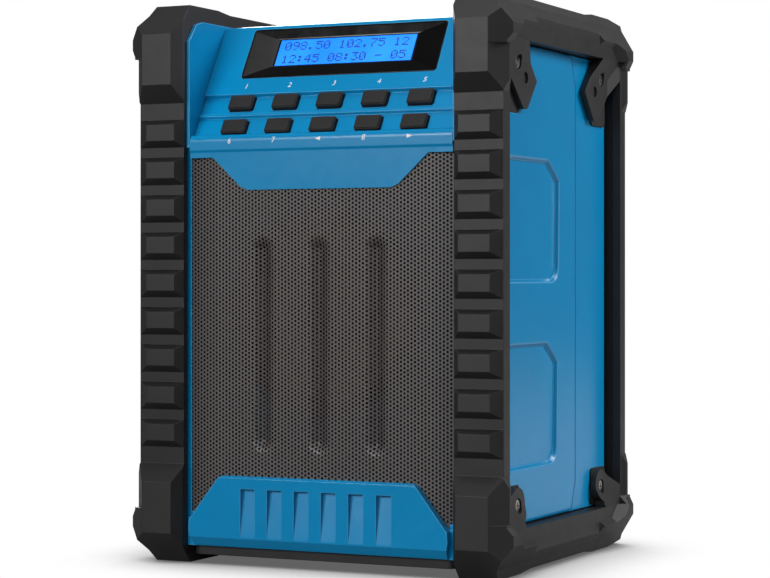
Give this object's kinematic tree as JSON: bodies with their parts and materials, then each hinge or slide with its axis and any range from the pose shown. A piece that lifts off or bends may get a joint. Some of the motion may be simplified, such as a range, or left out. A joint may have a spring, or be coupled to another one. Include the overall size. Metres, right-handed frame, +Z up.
{
  "type": "jobsite radio",
  "caption": "Portable radio with a leaning control panel, perforated speaker grille, carry handle and battery bay, held between two ribbed bumper frames.",
  "frame": {"origin": "centre of the footprint, on the ground under the cage frames' corner blocks", "axes": "+X to the viewer's right when facing the controls, +Y to the rear, +Z up"},
  "size_m": [0.186, 0.162, 0.25],
  "materials": {
    "cage_plastic": "moulded, lightly textured, satin on worn edges",
    "cabinet_blue": "satin moulded plastic with a fine grain",
    "grille_metal": "perforated steel sheet, powder coated",
    "inner_black": "moulded",
    "black_steel": "blackened",
    "bright_steel": "zinc plated",
    "soft_rubber": "matt",
    "button_rubber": "matt, fine grain",
    "display_window": "clear-coated black window",
    "display_panel": "lit display",
    "circuit_board": "solder mask",
    "cone_paper": "pressed paper, black",
    "magnet_ferrite": "sintered ferrite",
    "sink_aluminium": "extruded",
    "terminal_brass": "plated",
    "antenna_chrome": "polished"
  },
  "bodies": {
    "root": {"side_frame_right": "cage_plastic", "side_frame_left": "cage_plastic", "frame_screws": "black_steel", "front_shell": "cabinet_blue", "rear_shell": "cabinet_blue", "shell_screws": "black_steel", "base_tray": "inner_black", "base_screws": "bright_steel", "control_panel": "cabinet_blue", "lower_mask": "cabinet_blue", "grille": "grille_metal", "baffle_felt": "soft_rubber", "ear_pads": "soft_rubber", "lcd_window": "display_window", "lcd_module": "display_panel", "keypad_board": "circuit_board", "dome_switches": "bright_steel", "speaker_basket": "inner_black", "speaker_gasket": "soft_rubber", "speaker_surround": "soft_rubber", "speaker_cone": "cone_paper", "speaker_dust_cap": "cone_paper", "speaker_magnet": "magnet_ferrite", "speaker_screws": "bright_steel", "main_board": "circuit_board", "heat_sink": "sink_aluminium", "tuner_can": "bright_steel", "battery_pack": "inner_black", "battery_terminals": "terminal_brass", "door_seal": "soft_rubber", "door_hinge_pin": "bright_steel", "connector_plate": "inner_black", "dc_inlet": "inner_black", "aux_socket": "inner_black", "usb_socket": "bright_steel", "port_cover_pin": "bright_steel", "antenna_bracket": "inner_black", "antenna_pin": "bright_steel", "handle_rod": "bright_steel", "handle_grip": "soft_rubber"},
    "battery_door": {"battery_door": "cabinet_blue"},
    "port_cover": {"port_cover": "soft_rubber"},
    "antenna_arm": {"antenna_knuckle": "inner_black", "antenna_tube_1": "antenna_chrome"},
    "antenna_section_2": {"antenna_tube_2": "antenna_chrome"},
    "antenna_section_3": {"antenna_tube_3": "antenna_chrome"},
    "antenna_end": {"antenna_tip": "antenna_chrome"},
    "button_upper_1_key": {"button_upper_1": "button_rubber"},
    "button_upper_2_key": {"button_upper_2": "button_rubber"},
    "button_upper_3_key": {"button_upper_3": "button_rubber"},
    "button_upper_4_key": {"button_upper_4": "button_rubber"},
    "button_upper_5_key": {"button_upper_5": "button_rubber"},
    "button_lower_1_key": {"button_lower_1": "button_rubber"},
    "button_lower_2_key": {"button_lower_2": "button_rubber"},
    "button_lower_3_key": {"button_lower_3": "button_rubber"},
    "button_lower_4_key": {"button_lower_4": "button_rubber"},
    "button_lower_5_key": {"button_lower_5": "button_rubber"}
  },
  "joints": [
    {"name": "button_upper_1_press", "type": "slide", "parent": "root", "child": "button_upper_1_key", "axis": [0, 0.8545, -0.5195], "range_m": [0, 0.0008], "stiffness_N_per_m": 900, "springref_m": -0.0006},
    {"name": "button_upper_2_press", "type": "slide", "parent": "root", "child": "button_upper_2_key", "axis": [0, 0.8545, -0.5195], "range_m": [0, 0.0008], "stiffness_N_per_m": 900, "springref_m": -0.0006},
    {"name": "button_upper_3_press", "type": "slide", "parent": "root", "child": "button_upper_3_key", "axis": [0, 0.8545, -0.5195], "range_m": [0, 0.0008], "stiffness_N_per_m": 900, "springref_m": -0.0006},
    {"name": "button_upper_4_press", "type": "slide", "parent": "root", "child": "button_upper_4_key", "axis": [0, 0.8545, -0.5195], "range_m": [0, 0.0008], "stiffness_N_per_m": 900, "springref_m": -0.0006},
    {"name": "button_upper_5_press", "type": "slide", "parent": "root", "child": "button_upper_5_key", "axis": [0, 0.8545, -0.5195], "range_m": [0, 0.0008], "stiffness_N_per_m": 900, "springref_m": -0.0006},
    {"name": "button_lower_1_press", "type": "slide", "parent": "root", "child": "button_lower_1_key", "axis": [0, 0.8545, -0.5195], "range_m": [0, 0.0008], "stiffness_N_per_m": 900, "springref_m": -0.0006},
    {"name": "button_lower_2_press", "type": "slide", "parent": "root", "child": "button_lower_2_key", "axis": [0, 0.8545, -0.5195], "range_m": [0, 0.0008], "stiffness_N_per_m": 900, "springref_m": -0.0006},
    {"name": "button_lower_3_press", "type": "slide", "parent": "root", "child": "button_lower_3_key", "axis": [0, 0.8545, -0.5195], "range_m": [0, 0.0008], "stiffness_N_per_m": 900, "springref_m": -0.0006},
    {"name": "button_lower_4_press", "type": "slide", "parent": "root", "child": "button_lower_4_key", "axis": [0, 0.8545, -0.5195], "range_m": [0, 0.0008], "stiffness_N_per_m": 900, "springref_m": -0.0006},
    {"name": "button_lower_5_press", "type": "slide", "parent": "root", "child": "button_lower_5_key", "axis": [0, 0.8545, -0.5195], "range_m": [0, 0.0008], "stiffness_N_per_m": 900, "springref_m": -0.0006},
    {"name": "battery_door_hinge", "type": "hinge", "parent": "root", "child": "battery_door", "pos_m": [-0.0472, 0.0671, 0.084], "axis": [0, 0, 1], "range_deg": [0, 110]},
    {"name": "port_cover_hinge", "type": "hinge", "parent": "root", "child": "port_cover", "pos_m": [0, 0.0656, 0.1704], "axis": [1, 0, 0], "range_deg": [0, 120]},
    {"name": "antenna_swivel", "type": "hinge", "parent": "root", "child": "antenna_arm", "pos_m": [0.052, 0.0712, 0.195], "axis": [0, 1, 0], "range_deg": [0, 180]},
    {"name": "antenna_pull_1", "type": "slide", "parent": "antenna_arm", "child": "antenna_section_2", "axis": [0, 0, -1], "range_m": [0, 0.075]},
    {"name": "antenna_pull_2", "type": "slide", "parent": "antenna_section_2", "child": "antenna_section_3", "axis": [0, 0, -1], "range_m": [0, 0.075]},
    {"name": "antenna_pull_3", "type": "slide", "parent": "antenna_section_3", "child": "antenna_end", "axis": [0, 0, -1], "range_m": [0, 0.075]}
  ]
}
